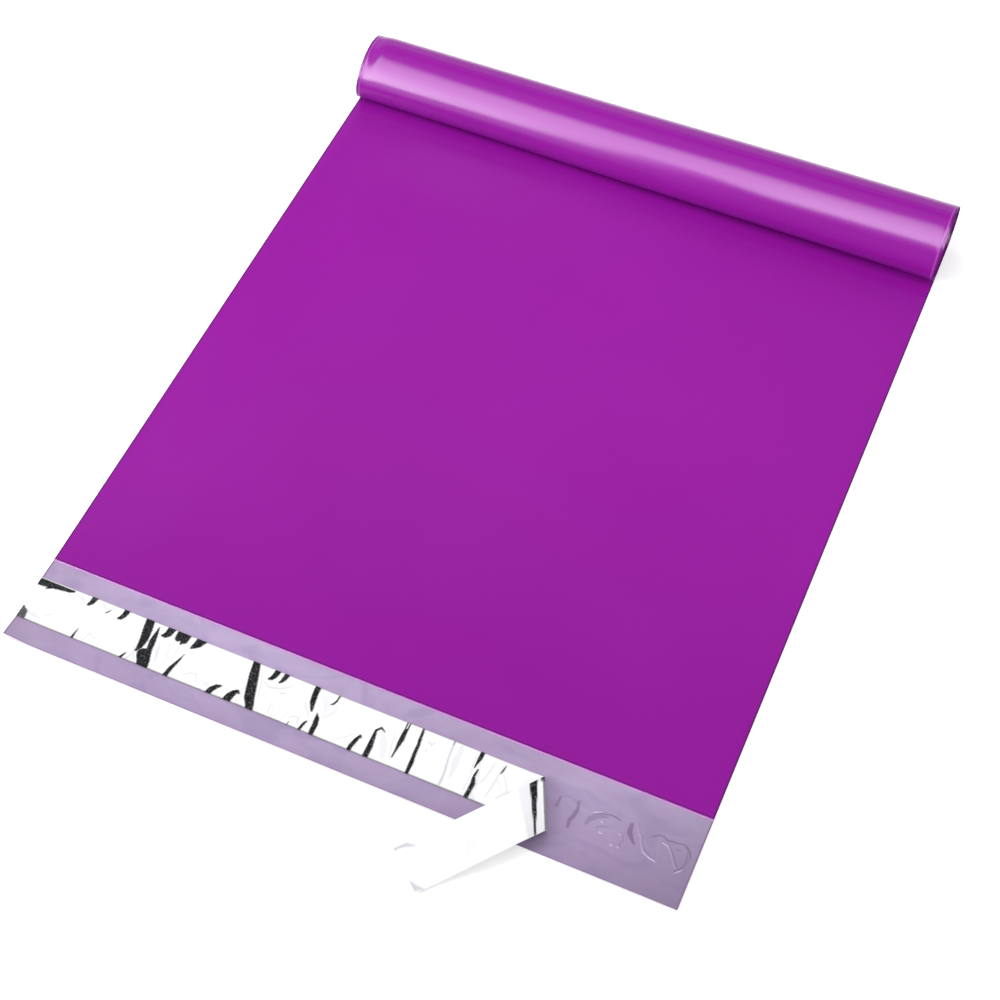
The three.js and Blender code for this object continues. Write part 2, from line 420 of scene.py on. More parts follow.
bag = add_object("bag", film_mesh, purple_film(), lilac_inside())
station_count = len(stations)
for face in film_mesh.polygons:
    column = min(vertex % station_count for vertex in face.vertices)
    face.material_index = 1 if column >= first_inside else 0
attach(bag, "root")
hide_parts("bag_film")

# Adhesive strip
# A band of clear hot-melt glue rolled onto the inside of the flap. Where the liner has been pulled off,
# its surface keeps the folds, ridges and rings of trapped air that the liner left in it.
adhesive_low, adhesive_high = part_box("adhesive_strip")
ADHESIVE_GAUGE = 0.1 * MM
ADHESIVE_SKIN = 0.02 * MM
ADHESIVE_LIFT = FILM_GAUGE + ADHESIVE_SKIN
ADHESIVE_FADE = 5 * MM
PEEL_LENGTH = 79.2 * MM
PEEL_X = BAG_WIDTH / 2 - PEEL_LENGTH
# Painted shade colour for the glue's folds
FOLD_PAINTED_SHADE = (0.42, 0.35, 0.42)
# Marks in the bared glue, in mm, first the painted shade in its folds and then its raised ridges: how strong
# each is, then points along it as x, y and width
GLUE_SHADES = [
    (0.5, [(112, -18, 1.4), (111.8, -22.8, 1.8)]),
    (0.3, [(111.6, -17.9, 0.6), (114.5, -16.3, 0.5), (118, -16.4, 0.5), (121, -17.5, 0.8)]),
    (0.6, [(121, -16.8, 1.2), (122, -20.3, 1.6), (121.6, -24.3, 2.2), (120.5, -27.3, 2.2), (121, -31, 1.2)]),
    (0.4, [(128.4, -25.8, 1.6), (129.5, -22.5, 2.8), (133, -19.8, 2.4), (137, -18.6, 1)]),
    (0.9, [(130, -20, 0.3), (133.4, -18.2, 0.5), (137.5, -17.1, 0.5), (140.4, -17.1, 0.6),
           (143.3, -17.9, 0.5)]),
    (0.45, [(133.6, -26, 0.6), (136.2, -24, 0.8), (138.5, -23.9, 0.5)]),
    (0.5, [(147, -24.5, 0.5), (148, -27.2, 0.5), (146.9, -30.2, 0.5)]),
    (0.65, [(148.9, -17.6, 2), (149.3, -21.7, 2.6), (151.5, -24.5, 2), (153.6, -26.6, 0.8)]),
    (0.6, [(160.3, -19.3, 0.6), (162.5, -17.6, 0.8), (165.1, -17, 0.8), (167.3, -18.2, 1),
           (172.8, -17.6, 0.9)]),
    (0.6, [(172.8, -17.6, 0.8), (175.9, -17, 0.8), (178.9, -18.7, 0.9), (181, -22.4, 0.7)]),
    (0.8, [(176.3, -18, 0.4), (178.6, -20.1, 0.5), (179.6, -25.2, 0.5), (178.4, -29.2, 0.5),
           (176, -31.6, 0.6)]),
    (0.5, [(173.2, -20.9, 0.8), (175, -20.4, 0.6)]),
]
GLUE_RIDGES = [
    (0.4, [(129.7, -19, 0.4), (131.5, -18, 0.5), (133.5, -17, 0.4)]),
    (0.5, [(135.2, -22, 0.5), (135.9, -22, 0.5)]),
    (0.5, [(145.4, -24.2, 0.5), (145.9, -24.3, 0.5)]),
    (0.5, [(143.4, -31, 0.6), (144.2, -31, 0.6)]),
    (0.4, [(136, -27.4, 0.6), (137.2, -27.2, 0.6)]),
    (0.5, [(146.9, -30.6, 0.5), (147.3, -30.9, 0.5)]),
    (0.2, [(151.6, -16.4, 1), (154, -20.6, 1.2)]),
    (0.35, [(155, -20.8, 0.8), (157.1, -25.5, 0.8), (159.3, -28.3, 0.9), (162.8, -29.9, 0.8),
            (165.8, -30.4, 0.5)]),
    (0.5, [(165.8, -20.1, 0.4), (168.8, -20.6, 0.5), (171.7, -23.7, 0.5), (174.5, -28, 0.5),
           (176, -29.8, 0.4)]),
    (0.35, [(177.2, -18.2, 0.4), (179.3, -20.6, 0.4), (180.3, -25.2, 0.4), (179, -29.6, 0.4),
            (176.6, -31.9, 0.4)]),
]


def stroke_mask(strokes, x, y, blur):
    """Strokes drawn on a grid: each one's strength inside its width, falling to 0 over a soft edge."""
    mask = np.zeros(np.broadcast(x, y).shape)
    for strength, points in strokes:
        for here, there in zip(points, points[1:]):
            from_x, from_y, from_width = np.array(here) * MM
            run_x, run_y, widening = (np.array(there) - np.array(here)) * MM
            share = ((x - from_x) * run_x + (y - from_y) * run_y) / (run_x**2 + run_y**2)
            share = np.clip(share, 0, 1)
            off = np.hypot(x - from_x - share * run_x, y - from_y - share * run_y)
            inside = smooth((from_width + share * widening) / 2 - off, -blur, blur)
            mask = np.maximum(mask, strength * inside)
    return mask


hidden_x = np.linspace(adhesive_low[0], PEEL_X, 100)
bared_x = np.linspace(PEEL_X, adhesive_high[0], 260)[1:]
x = np.concatenate([hidden_x, bared_x])[:, None]
y = np.linspace(adhesive_low[1], adhesive_high[1], 66)[None, :]
# Painted shade along the glue's folds, and raised ridges
shades = stroke_mask(GLUE_SHADES, x, y, blur=0.4 * MM)
ridges = stroke_mask(GLUE_RIDGES, x, y, blur=0.3 * MM)
under = flap_ripple(x, y) + ADHESIVE_LIFT
edge = smooth(np.minimum(y - adhesive_low[1], adhesive_high[1] - y), 0, ADHESIVE_FADE)
above = under + (ADHESIVE_SKIN + ADHESIVE_GAUGE * edge) + edge * ridges * MM
full_x = np.broadcast_to(x, above.shape)
full_y = np.broadcast_to(y, above.shape)
upper = np.stack([full_x, full_y, above], axis=2)
lower = np.stack([full_x, full_y, under], axis=2)[:, ::-1]
adhesive_mesh = loft_mesh("glue_band", np.concatenate([upper, lower], axis=1))
add_values(adhesive_mesh, "shade", np.concatenate([shades, 0 * shades], axis=1))


def clear_glue():
    """Tacky clear glue over the lilac film: wetter than the bare film, with painted shade in its folds."""
    material, nodes, links = start_material("clear_glue")
    shader = nodes["Principled BSDF"]
    lilac, mottle = lilac_film(nodes, links)
    fold = nodes.new("ShaderNodeAttribute")
    fold.attribute_name = "shade"
    # Painted shade in the folds
    folds = ramp(nodes, links, fold.outputs["Fac"], (0, (1, 1, 1)), (1, FOLD_PAINTED_SHADE))
    links.new(multiply(nodes, links, lilac, folds), shader.inputs["Base Color"])
    shader.inputs["Roughness"].default_value = 0.28
    add_bump(nodes, links, shader, mottle, 0.4 * MM)
    return material


glue = add_object("glue_band", adhesive_mesh, clear_glue())
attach(glue, "root")
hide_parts("adhesive_strip")

# Release liner
# A white siliconed film strip over the glue, as long as the bag is wide. Its right end has been pulled up and
# folded back along a slanting line. The crinkles it was stuck down with stand up a little, and the dark
# streaks along them are painted reflection of the dark room in the glossy film.
LINER_WIDTH = 25.4 * MM
LINER_SETBACK = 11.4 * MM
LINER_GAUGE = 0.08 * MM
LINER_GAP = 0.04 * MM
LINER_LIFT = ADHESIVE_LIFT + ADHESIVE_GAUGE + LINER_GAP
LINER_MIDDLE = -LINER_SETBACK - LINER_WIDTH / 2
PEEL_LEAN = math.radians(25)
PEEL_RADIUS = 1.6 * MM
TAIL_SAG_RADIUS = 600 * MM
CRINKLE = 0.25 * MM
CREASE_LINES = 9 * MM, 16 * MM
CREASE_PATCHES = 34 * MM, 24 * MM
CREASE_DEPTH = 0.3
BOND_EDGE = 6 * MM
SKEW_RUN = 40 * MM
SQUARE_RUN = 30 * MM
TAIL_LIFT = 1.8 * MM
TAIL_BOW = 0.3
TAIL_RISE = 12 * MM
TAIL_FALL = 15 * MM, 55 * MM
# The dark band of painted reflection beyond the bend, in mm: its near side, its far side and the length of
# the painted grey after it, each at the mouth end of the bend, and how much it grows towards the outer end
BAND_NEAR = 1.8, 1.6
BAND_FAR = 6.2, -1.4
BAND_AFTER = 7, -3
BAND_BLUR = 0.2 * MM
# Where the painted shade line on the bend's outside lies, and how dark it, the corner's painted reflection
# and the painted grey are
BEND_RIM = -2.6 * MM, -0.5 * MM
RIM_DARK = 0.7
CORNER_DARK = 0.95
AFTER_GREY = 0.25
# How dark the painted shade lines along the stuck edges are
LOWER_EDGE_DARK = 0.8
UPPER_EDGE_DARK = 0.55
TAIL_REST = FILM_GAUGE + 2 * FLAP_RIPPLE
tail_drop = LINER_LIFT + FLAP_RIPPLE - LINER_GAUGE - TAIL_REST
tail_slope = math.acos((TAIL_SAG_RADIUS - tail_drop - PEEL_RADIUS) / (TAIL_SAG_RADIUS + PEEL_RADIUS))
peel_film = PEEL_RADIUS * (math.pi + tail_slope)
sag_film = TAIL_SAG_RADIUS * tail_slope
# Dark streaks of painted reflection, in mm: how dark each is, then points along it as x, distance from the
# mouth side and width
STREAKS = [
    (1, [(-185, 2.8, 4.6), (-178, 2.5, 4), (-171, 2, 2.9), (-166, 1.7, 2.2), (-164, 1.2, 1.4)]),
    (1, [(-176, 3.8, 1.2), (-178.6, 5.2, 0.9)]),
    (0.92, [(-184, 19.4, 2.4), (-182.6, 22, 5), (-182.4, 24.5, 5.6), (-182.4, 26.4, 5.6)]),
    (1, [(-151.5, -1, 3.7), (-152.2, 3.1, 2.8), (-153.3, 4.9, 1.8)]),
    (1, [(-140.8, 3.7, 0.5), (-142.4, 5.6, 0.9)]),
    (1, [(-150.9, 19.1, 0.3), (-151.4, 22.1, 1), (-151.6, 26.4, 1.8)]),
    (1, [(-132.5, -1, 3.5), (-133, 3.1, 3), (-133.9, 5.2, 2.4), (-134.9, 5.8, 1.6)]),
    (1, [(-121.4, 21.4, 0.4), (-122.3, 23.6, 1.4), (-123.6, 26.4, 1.6)]),
    (1, [(-119.3, -1, 4.8), (-117.8, 6.1, 5.2), (-116.8, 11.1, 4.6), (-116.8, 15.6, 3.2),
         (-117.6, 18.6, 1.4)]),
    (1, [(-112.9, 2.1, 0.6), (-112.6, 5.6, 2), (-112.2, 10.6, 3.4), (-111.4, 15.6, 3.2), (-110.6, 19.6, 4)]),
    (1, [(-113, 19.1, 7), (-111.4, 21.6, 7), (-109.9, 26.4, 6)]),
    (1, [(-106.2, -1, 4.6), (-106.9, 3.4, 4), (-107.9, 5, 3), (-109.2, 5.6, 1.7)]),
    (1, [(-101, -1, 4), (-101, 3.8, 3.8)]),
    (1, [(-97.4, -1, 4.4), (-97.6, 3.6, 4.2), (-98.4, 6, 1.4)]),
    (1, [(-89, -1, 6.2), (-90, 2.6, 4.6), (-91.3, 4.6, 3), (-92.2, 5.9, 1.6)]),
    (1, [(-93.6, 10.6, 0.3), (-94.8, 15.6, 1.6), (-96.4, 20.6, 2.4), (-97.2, 26.4, 2.8)]),
    (1, [(-68, 19.2, 1.2), (-70, 20.5, 2.6), (-71.7, 22.8, 3.2), (-72.8, 26.4, 3.2)]),
    (1, [(-57.6, 19.4, 1), (-59, 18.6, 2), (-60.3, 20.2, 3.2), (-61.4, 22.6, 4.2), (-62.2, 26.4, 4.6)]),
    (1, [(-57.8, -1, 3.8), (-55.5, 7.4, 5.2), (-53.9, 12.6, 5.4), (-52, 18.9, 5.6), (-50, 22.6, 4.6),
         (-48.7, 26.4, 4)]),
    (1, [(-45, -1, 3.4), (-45.8, 3.4, 3), (-46.5, 5.2, 2.3), (-47.6, 5.9, 1.5)]),
    (1, [(-40, -1, 3.2), (-40.5, 2.8, 2.6), (-41.1, 4.7, 1.8), (-41.8, 5.6, 1.3)]),
    (1, [(-22.8, -1, 3.2), (-22.3, 5.1, 3.2), (-21.6, 8.8, 3), (-20.6, 11.6, 2), (-20, 13.2, 1.4)]),
    (1, [(-16.8, 13.2, 0.4), (-15.6, 16.2, 2.6), (-14.9, 19.6, 3), (-14.6, 26.4, 2.6)]),
    (1, [(-10.3, -1, 0.9), (-10.8, 3.6, 1.1), (-11.6, 5.6, 1.1), (-12.6, 6.2, 0.8)]),
    (1, [(-27.5, 23.2, 0.4), (-28.1, 26.4, 0.8)]),
    (1, [(-19.6, 19.6, 0.9), (-20.3, 21.1, 1.5), (-21.3, 26.4, 1.6)]),
    (1, [(9.4, 16.8, 0.6), (8.4, 15.9, 1.4), (7.4, 18.6, 2.2), (6.4, 22.6, 2.4), (6.1, 26.4, 2.4)]),
    (1, [(18.8, 9.2, 0.5), (16.2, 7.9, 1.3), (14.3, 10.2, 1.4), (14.6, 13.6, 2.2), (15.2, 18.6, 3),
         (15.3, 26.4, 3)]),
    (1, [(27.1, -1, 0.7), (27.4, 4.6, 0.9)]),
    (1, [(28.5, -1, 0.7), (28.6, 4.6, 0.9)]),
    (1, [(28, 4.6, 2.2), (28, 9.6, 2.8), (27.8, 14.6, 1.6), (27.6, 20.2, 0.7)]),
    (1, [(35.8, -1, 1.2), (36.4, 5.6, 1.8), (37, 9.6, 1.8), (37.2, 14.6, 2), (37.8, 19.6, 2.4),
         (37.9, 26.4, 1.9)]),
    (1, [(52.9, -1, 0.7), (52.8, 2.2, 0.4)]),
    (1, [(68, -1, 2.6), (67.8, 4.1, 2.2), (67.4, 7.1, 1.2), (67.3, 9.2, 0.6)]),
    (1, [(69.3, 9.6, 1), (69, 13.6, 1.6), (69.9, 17.1, 2.6), (69.8, 21.6, 2.4), (69.7, 26.4, 2.6)]),
    (1, [(81.3, 2.1, 0.5), (80.9, 4.9, 1), (80.4, 7, 0.6)]),
]
# Shallow creases with painted shade, and pale smudges, drawn in the same way
CREASES = [
    (0.3, [(-180.5, 20.5, 2), (-176.5, 21.5, 2.5), (-172, 22, 1)]),
    (0.45, [(-170, 19, 1), (-167, 16.5, 0.8)]),
    (0.4, [(-161, 19.3, 0.8), (-160, 18, 0.8)]),
    (0.4, [(-168, 4.4, 0.6), (-162, 2.5, 1), (-157.4, 3.3, 1.6), (-155.4, 4.1, 0.8)]),
    (0.5, [(-147, 1.5, 0.8), (-144, 3.4, 0.8), (-141.4, 3.4, 0.8), (-138.8, 1.2, 0.6)]),
    (0.4, [(-149.4, 23.4, 0.6), (-145.3, 23.8, 1), (-144.2, 19, 1), (-141, 21, 0.8), (-135.4, 20.5, 0.6)]),
    (0.4, [(-134.8, 18.2, 0.6), (-134.5, 15.4, 0.5)]),
    (0.45, [(-120.6, 14, 0.6), (-119, 18.6, 0.8), (-115.2, 24.3, 0.8)]),
    (0.45, [(-120, 24.3, 1.5), (-118, 20.3, 0.8)]),
    (0.35, [(-108.8, 9, 1), (-107, 15.5, 2.5), (-105.5, 20, 1)]),
    (0.25, [(-103.2, 8.6, 1.5), (-101, 16, 1.5), (-100.8, 23.2, 0.8)]),
    (0.4, [(-97.3, 7, 0.6), (-98.5, 11.8, 0.8), (-98, 18, 0.6)]),
    (0.45, [(-88.6, 21, 0.7), (-86, 18.8, 0.8), (-82.4, 18.3, 0.7), (-81.3, 22, 0.7)]),
    (0.35, [(-79.5, 20.2, 0.8), (-75, 21.3, 1)]),
    (0.35, [(-60, 5.5, 0.6), (-57.2, 14.6, 0.8), (-55.7, 21, 1)]),
    (0.4, [(-52.3, 4.2, 0.8), (-50, 10.4, 0.8), (-48, 17.7, 0.8)]),
    (0.45, [(-49.7, 8.2, 0.7), (-45, 10.2, 1), (-40, 8.6, 1), (-36.4, 6.5, 0.8), (-34.2, 3.5, 0.5)]),
    (0.45, [(-38.8, 11, 1), (-36.5, 10, 1)]),
    (0.45, [(-40.2, 17.4, 0.6), (-39.5, 23, 0.7)]),
    (0.45, [(-28.7, 21.5, 0.7), (-27, 19.6, 0.8), (-24.2, 19.5, 0.7), (-23.7, 22.3, 0.7)]),
    (0.25, [(-25, 10.7, 1.5), (-22, 14.5, 2), (-19.6, 17.5, 1)]),
    (0.22, [(-19, 3, 2), (-14.6, 7.2, 4), (-13.6, 12.8, 1.5)]),
    (0.4, [(-12.8, 14.5, 0.7), (-9.4, 10, 0.9), (-8.8, 5.7, 0.5)]),
    (0.35, [(-3, 23, 0.7), (2.4, 19, 0.9), (5.3, 15.6, 0.7)]),
    (0.22, [(17.5, 10.3, 3), (20.6, 15, 4.5), (23, 21.7, 3)]),
    (0.4, [(23.5, 7.7, 0.6), (25, 15, 0.8), (27, 22, 0.8)]),
    (0.45, [(40.8, 5.6, 0.9), (43, 6.6, 1.1), (44, 4.7, 0.8)]),
    (0.4, [(41.5, 10, 0.9), (42, 10.6, 0.9)]),
    (0.6, [(53, 0.8, 0.6), (53, 4.7, 1.2), (53.4, 9.5, 1), (54.9, 18.5, 1.2), (55, 24, 1.4)]),
    (0.25, [(57.2, 2, 3), (57.5, 10.6, 4), (58.2, 18, 2)]),
    (0.45, [(65.4, 0.3, 0.5), (66, 7.8, 0.8), (67.2, 14, 0.6), (67, 22, 0.8)]),
    (0.3, [(69, 6.5, 0.8), (71, 12.5, 1), (72.3, 19.6, 1)]),
    (0.4, [(75.5, 2.8, 0.8), (74.6, 11, 1), (73, 15.4, 0.8)]),
    (0.4, [(80, 2.8, 0.8), (79.4, 11.7, 1), (78.2, 21, 0.8)]),
    (0.35, [(81.4, 6, 0.6), (84, 9.7, 0.8), (86.8, 14.3, 0.8)]),
    (0.35, [(83, 19.7, 0.6), (87.7, 14.3, 1)]),
    (0.5, [(184, 0.5, 1), (178, 1, 2.5), (174.5, 3.3, 0.8)]),
    (1, [(183.6, 1.2, 0.7), (183.3, 1.3, 0.7)]),
    (0.5, [(184, 19, 1), (183, 23, 3), (180, 25, 1)]),
    (0.2, [(148, 15, 3), (151, 14, 4), (154.5, 19.6, 1.5)]),
    (0.3, [(141.5, 9, 0.6), (142.2, 11.4, 0.6)]),
    (0.2, [(134, 13.6, 1), (136, 18.3, 1.2)]),
]


def liner_section(past):
    """The liner's underside past the peel line: along the fold's normal, height, angle turned."""
    turned = np.clip(past / PEEL_RADIUS, 0, math.pi + tail_slope)
    slope = tail_slope - np.clip((past - peel_film) / TAIL_SAG_RADIUS, 0, tail_slope)
    level = np.maximum(past - peel_film - sag_film, 0)
    on_tail = past > peel_film
    along = np.minimum(past, 0) + PEEL_RADIUS * np.sin(turned)
    along = along - on_tail * (TAIL_SAG_RADIUS * (math.sin(tail_slope) - np.sin(slope)) + level)
    up = PEEL_RADIUS * (1 - np.cos(turned))
    up = up - on_tail * TAIL_SAG_RADIUS * (np.cos(slope) - math.cos(tail_slope))
    return along, up, np.where(on_tail, math.pi + slope, turned)


def window(value, start, stop, blur):
    """1 between start and stop, falling to 0 over a soft edge on either side."""
    return smooth(value, start - blur, start + blur) * smooth(-value, -stop - blur, blur - stop)


# Lines across the strip: square at both ends, parallel to the peel line where the strip bends
strip_x = np.concatenate([
    np.linspace(-BAG_WIDTH / 2, PEEL_X, 620),
    PEEL_X + np.linspace(0, peel_film, 36)[1:] / math.cos(PEEL_LEAN),
    np.linspace(PEEL_X + peel_film / math.cos(PEEL_LEAN), BAG_WIDTH / 2, 110)[1:],
])[:, None]
skew = smooth(strip_x, PEEL_X - SKEW_RUN, PEEL_X)
skew = skew * smooth(-strip_x, -BAG_WIDTH / 2, -BAG_WIDTH / 2 + SQUARE_RUN)
across = np.linspace(-LINER_WIDTH / 2, LINER_WIDTH / 2, 56)[None, :]
strip_x = strip_x - skew * math.tan(PEEL_LEAN) * across
strip_y = LINER_MIDDLE + across + 0 * strip_x
aside = LINER_WIDTH / 2 - across + 0 * strip_x
past = (strip_x - PEEL_X) * math.cos(PEEL_LEAN) + across * math.sin(PEEL_LEAN)
beside = (strip_x - PEEL_X) * math.sin(PEEL_LEAN) - across * math.cos(PEEL_LEAN)
stuck = smooth(-past, 0, BOND_EDGE)
# The streaks are painted reflection of the dark room; they also raise a slight relief
streaks = stroke_mask(STREAKS, strip_x, aside, blur=0.22 * MM) * stuck

# The bend carries painted reflection in a dark band just past it and a black corner at its mouth end, and
# painted shade in a dark line on its outside
bend_share = (beside + LINER_WIDTH / 2) / LINER_WIDTH
beyond_bend = past - math.pi * PEEL_RADIUS
band_near = (BAND_NEAR[0] + BAND_NEAR[1] * bend_share) * MM
band_far = (BAND_FAR[0] + BAND_FAR[1] * bend_share) * MM
bend_band = window(beyond_bend, band_near, band_far, BAND_BLUR)
streaks = np.maximum(streaks, bend_band)
bend_rim = window(beyond_bend, *BEND_RIM, BAND_BLUR)
bend_corner = smooth(-bend_share, -0.14, -0.1) * smooth(beyond_bend, -3 * MM, -2.4 * MM)
bend_corner = bend_corner * smooth(-beyond_bend, -1 * MM, 0)
streaks = np.maximum(streaks, np.maximum(RIM_DARK * bend_rim, CORNER_DARK * bend_corner))


def crease(px, py):
    """Fine creases in patches: strongest along the crease lines and 0 between them."""
    line = noise.noise(Vector((px / CREASE_LINES[0], py / CREASE_LINES[1], 0.3)))
    patch = noise.noise(Vector((px / CREASE_PATCHES[0], py / CREASE_PATCHES[1], 2.0)))
    return CREASE_DEPTH * max(0, 1 - 8 * abs(line)) * min(max(0.35 + 2 * patch, 0), 1)


# Crease values raise a slight relief and paint shade grey along the creases
creases = np.array([crease(px, py) for px, py in zip(strip_x.ravel(), strip_y.ravel())])
creases = creases.reshape(strip_x.shape) * stuck
creases = np.maximum(creases, stroke_mask(CREASES, strip_x, aside, blur=0.45 * MM))
relief = stuck * CRINKLE * (creases + streaks)
# A pale grey of painted reflection over and past the dark band
bend_end = band_far + (BAND_AFTER[0] + BAND_AFTER[1] * bend_share) * MM
bend_pale = smooth(beyond_bend, -0.4 * MM, 0)
bend_pale = bend_pale * smooth(-beyond_bend, -bend_end - 0.3 * MM, -bend_end + 0.3 * MM)
creases = np.maximum(creases, AFTER_GREY * bend_pale)

# Painted shade: a thin dark line runs along the edges that are still stuck down
lower_edge = smooth(aside, LINER_WIDTH - 0.7 * MM, LINER_WIDTH - 0.3 * MM) * stuck
upper_edge = smooth(-aside, -0.5 * MM, -0.2 * MM) * stuck
streaks = np.maximum(streaks, np.maximum(LOWER_EDGE_DARK * lower_edge, UPPER_EDGE_DARK * upper_edge))

along, up, turned = liner_section(past)
tail_run = past - peel_film
tail_lift = TAIL_LIFT * bend_share**2 * smooth(tail_run, 0, TAIL_RISE)
tail_lift = tail_lift * smooth(-tail_run, -TAIL_FALL[1], -TAIL_FALL[0])
ground = np.where(past > peel_film, FLAP_RIPPLE, flap_ripple(strip_x, strip_y))


def liner_skin(height):
    off = along - height * np.sin(turned)
    out = beside + TAIL_BOW * tail_lift
    px = PEEL_X + off * math.cos(PEEL_LEAN) + out * math.sin(PEEL_LEAN)
    py = LINER_MIDDLE + off * math.sin(PEEL_LEAN) - out * math.cos(PEEL_LEAN)
    pz = LINER_LIFT + ground + up + tail_lift + height * np.cos(turned)
    return np.stack([px, py, pz], axis=2)


upper = liner_skin(LINER_GAUGE + relief)
lower = liner_skin(relief)[:, ::-1]
liner_mesh = loft_mesh("liner", np.concatenate([upper, lower], axis=1))
add_values(liner_mesh, "streak", np.concatenate([streaks, streaks[:, ::-1]], axis=1))
add_values(liner_mesh, "crease", np.concatenate([creases, creases[:, ::-1]], axis=1))

# Painted shade grey in the shallow creases
CREASED_WHITE = [(0.05, (0.965, 0.965, 0.97)), (0.5, (0.68, 0.68, 0.74)), (1, (0.38, 0.33, 0.43))]
# Near black of painted reflection, speckled
REFLECTION_BLACK = [(0.45, (0.002, 0.002, 0.003)), (0.58, (0.025, 0.025, 0.03)), (0.7, (0.15, 0.15, 0.16))]


def white_liner():
    """Smooth white release film: grey with painted shade in the shallow creases and near black with painted
    reflection in the streaks.
    """
    material, nodes, links = start_material("white_liner")
    shader = nodes["Principled BSDF"]
    crease_line = nodes.new("ShaderNodeAttribute")
    crease_line.attribute_name = "crease"
    white = ramp(nodes, links, crease_line.outputs["Fac"], *CREASED_WHITE)
    # Painted reflection in the streaks, near black and speckled
    speckle = scaled_noise(nodes, links, scale=1100, detail=2)
    black = ramp(nodes, links, speckle, *REFLECTION_BLACK)
    streak = nodes.new("ShaderNodeAttribute")
    streak.attribute_name = "streak"
    mix = nodes.new("ShaderNodeMix")
    mix.data_type = "RGBA"
    links.new(streak.outputs["Fac"], mix.inputs["Factor"])
    links.new(white, mix.inputs["A"])
    links.new(black, mix.inputs["B"])
    links.new(mix.outputs["Result"], shader.inputs["Base Color"])
    shader.inputs["Roughness"].default_value = 0.28
    shader.inputs["Specular IOR Level"].default_value = 0.25
    return material


liner = add_object("liner", liner_mesh, white_liner())
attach(liner, "root")
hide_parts("release_liner")

# Table
# A plain white table top that the bag lies on. It shows as white to the eye and in reflections, and keeps
# the soft shadows of the curl and of the liner's lifted tail.
TABLE_SIZE = 40
TABLE_DROP = 0.3 * MM
TABLE_GLOW = 0.42
half = TABLE_SIZE / 2
table_corners = [(-half, -half), (half, -half), (half, half), (-half, half)]
table_mesh = bpy.data.meshes.new("table")
table_mesh.from_pydata([(*corner, -TABLE_DROP) for corner in table_corners], [], [(0, 1, 2, 3)])


def white_table():
    material, nodes, links = start_material("white_table")
    shader = nodes["Principled BSDF"]
    shader.inputs["Base Color"].default_value = (0.8, 0.8, 0.8, 1)
    shader.inputs["Roughness"].default_value = 1.0
    shader.inputs["Specular IOR Level"].default_value = 0.0
    shader.inputs["Emission Color"].default_value = (1, 1, 1, 1)
    rays = nodes.new("ShaderNodeLightPath")
    seen = nodes.new("ShaderNodeMath")
    seen.operation = "MAXIMUM"
    links.new(rays.outputs["Is Camera Ray"], seen.inputs[0])
    links.new(rays.outputs["Is Glossy Ray"], seen.inputs[1])
    through = nodes.new("ShaderNodeMath")
    through.operation = "MAXIMUM"
    links.new(seen.outputs["Value"], through.inputs[0])
    links.new(rays.outputs["Is Transmission Ray"], through.inputs[1])
    glow = nodes.new("ShaderNodeMath")
    glow.operation = "MULTIPLY"
    glow.inputs[1].default_value = TABLE_GLOW
    links.new(through.outputs["Value"], glow.inputs[0])
    links.new(glow.outputs["Value"], shader.inputs["Emission Strength"])
    return material


table = add_object("table", table_mesh, white_table())

# Studio light
# A white panel overhead with soft edges, wider and brighter at the front left, draws the pale band along the
# curl. Three soft lamps that no surface mirrors light the film: close above it, at the front left and behind.
# The room around is grey, darker low down in front and high up behind.
PANEL_HEIGHT = 2.5
PANEL_GLOW = 7.5
# Ribs of the panel from the left: back end x and y and front end x and y in metres, then the glow near the
# front end and past it
PANEL_RIBS = [
    (-1.5, 0.3, -3.6, -6.4, 2.2, 0.2),
    (-1.13, -0.02, -2.45, -4.9, 2.2, 0.2),
    (-0.97, -0.21, -2.1, -5, 1.8, 0.17),
    (-0.8, -0.25, -1.38, -3.6, 1.35, 0.1),
    (-0.63, -0.2, -0.82, -2, 1.08, 0.06),
    (-0.55, -0.1, -0.72, -1.92, 1.1, 0.04),
    (-0.38, -0.08, -0.61, -2.9, 1.25, 0.03),
    (-0.23, -0.08, -0.36, -2.35, 1.4, 0.03),
    (-0.07, 0.03, -0.14, -2.15, 1.4, 0.03),
    (0.01, 0.17, -0.04, -2.1, 1.35, 0.03),
    (0.3, 0.33, 0.4, -1.9, 1.1, 0.03),
    (1.5, 0.6, 1.8, -1.2, 1, 0.03),
]
# How bright the panel is near its back end, by metres along a rib, and near its front end and past it, by
# shares of the rib
BACK_FADE = [(-0.12, 0), (0, 0.43), (0.25, 0.8), (0.5, 1)]
FRONT_FADE = [(0.45, 0.9), (0.65, 1), (0.88, 0.98), (0.95, 0.75), (1, 0.43), (1.1, 0.16)]
FRONT_TAIL = [(1.5, 1), (2.2, 0.5), (2.6, 0)]
panel_points = []
panel_glow = []
for back_x, back_y, front_x, front_y, front_glow, tail_glow in PANEL_RIBS:
    rib_length = math.hypot(front_x - back_x, front_y - back_y)
    rib_fade = [(metres / rib_length, glow) for metres, glow in BACK_FADE]
    rib_fade += [(share, glow * front_glow) for share, glow in FRONT_FADE]
    rib_fade += [(share, glow * front_glow * tail_glow) for share, glow in FRONT_TAIL]
    for along_rib, glow in rib_fade:
        panel_points.append((
            back_x + along_rib * (front_x - back_x),
            back_y + along_rib * (front_y - back_y),
            PANEL_HEIGHT,
        ))
        panel_glow.append(glow)
panel_faces = []
row = len(BACK_FADE) + len(FRONT_FADE) + len(FRONT_TAIL)
for rib in range(len(PANEL_RIBS) - 1):
    for place in range(row - 1):
        corner = rib * row + place
        panel_faces.append((corner, corner + 1, corner + row + 1, corner + row))
light_panel_mesh = bpy.data.meshes.new("light_panel")
light_panel_mesh.from_pydata(panel_points, [], panel_faces)
add_values(light_panel_mesh, "glow", np.array(panel_glow))


